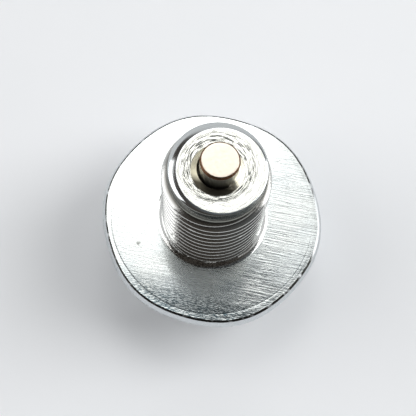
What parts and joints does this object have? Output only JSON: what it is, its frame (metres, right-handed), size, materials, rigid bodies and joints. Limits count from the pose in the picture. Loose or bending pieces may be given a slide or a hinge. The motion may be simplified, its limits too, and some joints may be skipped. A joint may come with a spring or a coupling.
{
  "type": "oil drain plug",
  "caption": "Hex flange screw plug that seals an oil sump's drain hole, with a pin magnet set in the nose of its threaded shank to catch steel swarf.",
  "frame": {"origin": "centre of the hexagon's end face, which the plug stands on", "axes": "+Z along the plug's axis, from the hexagon's end face towards the nose and its magnet; +X towards a corner of the hexagon"},
  "size_m": [0.0306, 0.0304, 0.0322],
  "materials": {
    "zinc_plated_steel": "bright zinc plating over forged and turned steel, with straight grinding marks on the sealing face",
    "nickel_plated_magnet": "warm satin nickel plating over a sintered magnet"
  },
  "bodies": {
    "root": {"plug_body": "zinc_plated_steel", "magnet": "nickel_plated_magnet"}
  },
  "joints": []
}
